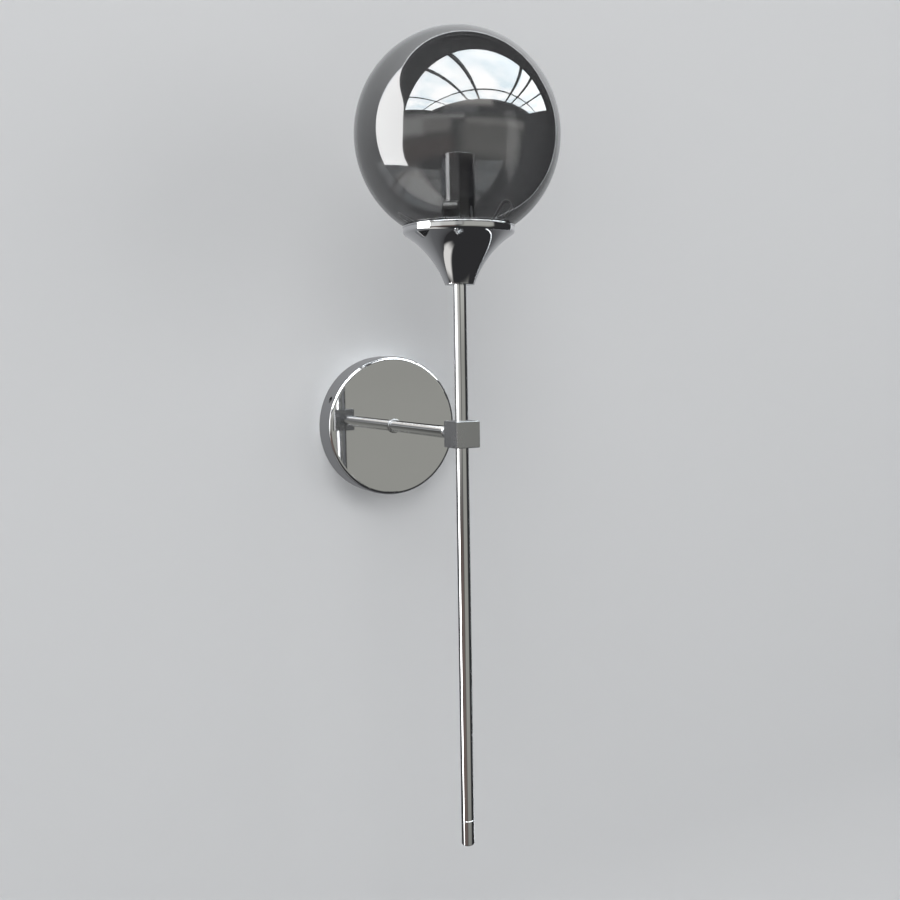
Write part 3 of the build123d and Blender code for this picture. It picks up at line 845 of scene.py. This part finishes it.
# What metal and glass reflect: lengths in metres, light in multiples of white, and angles as
# seen from the upright, in degrees. The board's left, right, low and high edges on the wall:
BOARD = (-0.272, 0.640, -0.410, 0.605)
BOARD_TONES = [
    (0.0, (0.05, 0.05, 0.053)),
    (0.35, (0.15, 0.152, 0.158)),
    (0.6, (0.46, 0.468, 0.48)),
    (1.0, (1.30, 1.33, 1.36)),
]
BOARD_EDGE = 0.018
BOARD_EDGE_LIGHT = 5.0
SKY_LIGHT = 8.0
SKY_HEIGHT = 1.5
SKY_BAR = 0.05
SKY_COLUMNS = (-4.0, -2.30, -0.85, -0.24, 1.23, 1.65, 2.40, 3.8)
SKY_ROWS = (-0.29, -1.93, -2.80)
PANEL_LIGHT = 6.2
PANEL_SIDES = (-136.0, -96.0)
PANEL_FOOT, PANEL_TOP = -22.0, 60.0
PANEL_SOFT = 0.6
DARK = (0.035, 0.035, 0.037)
# The rest of the room: from and to an azimuth, from and to an elevation, softness and colour
ROOM = (
    (-102.0, -34.0, -30.0, -9.0, 6.0, (0.19, 0.145, 0.13)),
    (-26.0, 42.0, -30.0, 7.0, 10.0, (0.38, 0.38, 0.35)),
    (-20.0, 46.0, 2.0, 8.0, 3.0, (0.62, 0.62, 0.58)),
    (-74.0, -36.0, -6.0, 12.0, 5.0, (0.55, 0.54, 0.51)),
    (-116.0, -66.0, -6.0, 12.0, 5.0, (0.90, 0.90, 0.88)),
    (-66.0, -22.0, 7.5, 11.5, 2.0, (0.80, 0.80, 0.78)),
    (-45.0, -8.0, 12.0, 21.0, 4.0, (0.34, 0.35, 0.36)),
    (-45.0, 10.0, 21.0, 31.0, 4.0, (1.30, 1.25, 1.17)),
    (-125.0, -84.0, -75.0, -34.0, 8.0, (0.90, 0.88, 0.85)),
)


def emitter(name, corners, light):
    """Flat card that glows with a colour and strength. Only reflections see it."""
    card = meshed(name, corners, [list(range(len(corners)))])
    glow = bpy.data.materials.new(name)
    colour, strength = light
    Shader(glow).glow(rgba(colour), strength)
    dress(card, glow)
    card.visible_camera = False
    card.visible_diffuse = False
    card.visible_transmission = False
    card.visible_shadow = False
    return card


class SCONCE_OT_studio(bpy.types.Operator):
    """Set up the pale wall and floor, the softboxes, the world and the camera"""

    bl_idname = "sconce.studio"
    bl_label = "Studio"

    def execute(self, context):
        self.camera(context)
        self.cove()
        self.board()
        self.skylight()
        self.lamps()
        self.world()
        context.scene.view_settings.view_transform = "Standard"
        return {"FINISHED"}

    @staticmethod
    def camera(context):
        """Camera from its place, yaw, pitch and roll, with the photograph's lens."""
        forward = Vector((
            sin(CAMERA_YAW) * cos(CAMERA_PITCH),
            cos(CAMERA_YAW) * cos(CAMERA_PITCH),
            sin(CAMERA_PITCH),
        ))
        level = Vector((cos(CAMERA_YAW), -sin(CAMERA_YAW), 0.0))
        up = level.cross(forward)
        right = cos(CAMERA_ROLL) * level + sin(CAMERA_ROLL) * up
        above = -sin(CAMERA_ROLL) * level + cos(CAMERA_ROLL) * up
        data = bpy.data.cameras.new("camera")
        data.sensor_width = 36.0
        data.lens = FOCAL_PIXELS / PICTURE * data.sensor_width
        data.shift_x = (PICTURE / 2 - PRINCIPAL[0]) / PICTURE
        data.shift_y = (PRINCIPAL[1] - PICTURE / 2) / PICTURE
        data.clip_start = 0.01
        camera = bpy.data.objects.new("camera", data)
        turn = Matrix((right, above, -forward)).transposed()
        camera.matrix_world = Matrix.Translation(CAMERA_PLACE) @ turn.to_4x4()
        context.scene.collection.objects.link(camera)
        context.scene.camera = camera

    @staticmethod
    def cove():
        """Wall, quarter-round and floor in one sheet: the profile (y, z) at place s carried
        along X. The wall is see-through from behind, so that the back can be viewed."""
        drop = settings().studio.drop
        bend = 0.30
        half, high, deep = 8.0, 2.4, 3.6
        gap = 0.0003
        turn = np.linspace(0.0, pi / 2, 25)
        cove_y = gap - bend + bend * np.cos(turn)
        cove_z = -drop + bend - bend * np.sin(turn)
        profile = np.column_stack((cove_y, cove_z))
        profile = np.vstack(([[gap, high]], profile, [[-deep, -drop]]))
        points = np.array([(x, y, z) for y, z in profile for x in (-half, half)])
        row = np.arange(len(profile) - 1)[:, None] * 2
        faces = (row + np.array([0, 2, 3, 1])).tolist()
        sheet = meshed("cove", points, faces)
        paper = bpy.data.materials.new("cove paper")
        shader = Shader(paper)
        colour = settings().studio.backdrop
        matt = shader.add("ShaderNodeBsdfDiffuse", None, {"Color": rgba(colour)})
        back = shader.add("ShaderNodeNewGeometry", output="Backfacing")
        clear = shader.add("ShaderNodeBsdfTransparent")
        shader.finish(shader.add("ShaderNodeMixShader", None, {0: back, 1: matt, 2: clear}))
        dress(sheet, paper)
        sheet.visible_glossy = False

    @staticmethod
    def board():
        """The wall as metal and glass show it: a grey board, darker lower down, with a pale
        edge. Only reflections see it."""
        left, right, low, high = BOARD
        corners = ((left, low), (right, low), (right, high), (left, high))
        gap = 0.0002
        sheet = emitter("board", [(x, gap, z) for x, z in corners], ((1.0, 1.0, 1.0), 1.0))
        shader = Shader(sheet.data.materials[0])
        x, _, z = shader.split(shader.place())
        shader.glow(shader.bands((z - low) / (high - low) + (x - left) * 0.12, BOARD_TONES))
        edge = BOARD_EDGE
        # the lower strip starts under the cup, and the left one above the panel
        strips = (
            (left - edge, right + edge, high, high + edge),
            (0.12, right + edge, low - edge, low),
            (right, right + edge, low, high),
            (left - edge, left, 0.36, high),
        )
        for number, (x0, x1, z0, z1) in enumerate(strips):
            strip = [(x0, gap, z0), (x1, gap, z0), (x1, gap, z1), (x0, gap, z1)]
            emitter(f"board_edge_{number}", strip, ((0.93, 0.96, 1.0), BOARD_EDGE_LIGHT))

    @staticmethod
    def skylight():
        """Overhead window softbox, divided by dark bars, seen only in reflections."""
        columns = zip(SKY_COLUMNS, SKY_COLUMNS[1:])
        panes = [(*column, *row) for column in columns for row in zip(SKY_ROWS, SKY_ROWS[1:])]
        for number, (left, right, front, rear) in enumerate(panes):
            left, right = left + SKY_BAR, right - SKY_BAR
            front, rear = front - SKY_BAR, rear + SKY_BAR
            outline = ((left, front), (right, front), (right, rear), (left, rear))
            corners = [(x, y, SKY_HEIGHT) for x, y in outline]
            pane = emitter(f"pane_{number}", corners, ((0.92, 0.97, 1.0), SKY_LIGHT))
            shader = Shader(pane.data.materials[0])
            clouds = [(0.35, (0.70, 0.80, 0.86)), (0.6, (1.0, 1.0, 1.0))]
            shader.glow(shader.bands(shader.noise(1.1, 3.0), clouds), SKY_LIGHT)

    @staticmethod
    def lamps():
        """Soft area lamps, kept out of the reflections."""
        power = settings().studio.key
        plan = (
            ("key_lamp", (-0.5, -1.5, 1.9), 1.8, power),
            ("side_lamp", (1.9, -1.6, 0.6), 1.6, 0.45 * power),
            ("fill_lamp", (-2.0, -1.8, 0.2), 1.8, 0.45 * power),
        )
        for name, where, size, watts in plan:
            data = bpy.data.lights.new(name, "AREA")
            data.shape = "SQUARE"
            data.size = size
            data.energy = watts
            lamp = bpy.data.objects.new(name, data)
            lamp.location = where
            aim = Vector((0.0, -0.05, 0.0)) - Vector(where)
            lamp.rotation_euler = aim.to_track_quat("-Z", "Y").to_euler()
            lamp.visible_camera = False
            lamp.visible_glossy = False
            bpy.context.scene.collection.objects.link(lamp)

    @staticmethod
    def world():
        """Pale to the camera and through glass, a room to reflections, and grey to the rest."""
        world = bpy.data.worlds.new("studio")
        bpy.context.scene.world = world
        shader = Shader(world)

        def background(colour, strength=1.0):
            inputs = {"Color": colour, "Strength": strength}
            return shader.add("ShaderNodeBackground", None, inputs)

        room = background(SCONCE_OT_studio.room(shader))
        ambient = background((0.95, 0.97, 1.0, 1.0), 0.35)
        pale = background(rgba(settings().studio.backdrop))
        glossy = shader.ray("Is Glossy Ray")
        shown = shader.maths("MAXIMUM", shader.ray("Is Camera Ray"),
                             shader.ray("Is Transmission Ray"))
        lit = shader.add("ShaderNodeMixShader", None, {0: glossy, 1: ambient, 2: room})
        both = shader.add("ShaderNodeMixShader", None, {0: shown, 1: lit, 2: pale})
        shader.finish(both, "ShaderNodeOutputWorld")

    @staticmethod
    def room(shader):
        """Colour of the room in each direction: soft patches, and the tall white panel. Its
        sides bulge to the right half way up and lean to the right near the top, and its foot
        slopes down to the right."""
        x, y, z = shader.split(shader.add("ShaderNodeTexCoord", output="Generated"))
        around = shader.maths("ARCTAN2", x, -1.0 * y) * degrees(1.0)
        above = shader.maths("ARCSINE", z) * degrees(1.0)
        view = rgba(DARK)
        for left, right, low, high, soft, colour in ROOM:
            share = shader.window(around, left, right, soft)
            share = share * shader.window(above, low, high, soft)
            view = shader.mix(share, view, rgba(colour))
        lean = 0.03 * shader.maths("MAXIMUM", above - 20.0, 0.0) ** 2.0
        bulge = 6.5 * shader.window(above, -10.0, 30.0, 15.0)
        slope = 0.4 * (around + 117.0)
        share = shader.window(around + lean - bulge, *PANEL_SIDES, PANEL_SOFT)
        share = share * shader.window(above + slope, PANEL_FOOT, 90.0, PANEL_SOFT)
        share = share * shader.window(above, -60.0, PANEL_TOP, PANEL_SOFT)
        return shader.mix(share, view, rgba((PANEL_LIGHT, PANEL_LIGHT, PANEL_LIGHT)))


# --- Panel and registration ---
class SCONCE_PT_panel(bpy.types.Panel):
    """Sizes and colours of the sconce, and the operators that make its pieces"""

    bl_label = "Globe wall sconce"
    bl_space_type = "VIEW_3D"
    bl_region_type = "UI"
    bl_category = "Sconce"

    def draw(self, context):
        layout = self.layout
        for group in (settings().metal, settings().glass, settings().studio):
            box = layout.box()
            for name in group.__annotations__:
                box.prop(group, name)
        for operator in OPERATORS:
            layout.operator(operator.bl_idname)


OPERATORS = (
    SCONCE_OT_frame_finish,
    SCONCE_OT_globe,
    SCONCE_OT_cup,
    SCONCE_OT_tubes,
    SCONCE_OT_studio,
)
CLASSES = (
    MetalSettings, GlassSettings, StudioSettings, SconceSettings, *OPERATORS, SCONCE_PT_panel
)


def register():
    for each in CLASSES:
        bpy.utils.register_class(each)
    bpy.types.Scene.sconce = PointerProperty(type=SconceSettings)


def unregister():
    del bpy.types.Scene.sconce
    for each in reversed(CLASSES):
        bpy.utils.unregister_class(each)


def main():
    """Registers the add-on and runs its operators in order."""
    register()
    for operator in OPERATORS:
        group, name = operator.bl_idname.split(".")
        getattr(getattr(bpy.ops, group), name)()


if __name__ == "__main__":
    main()
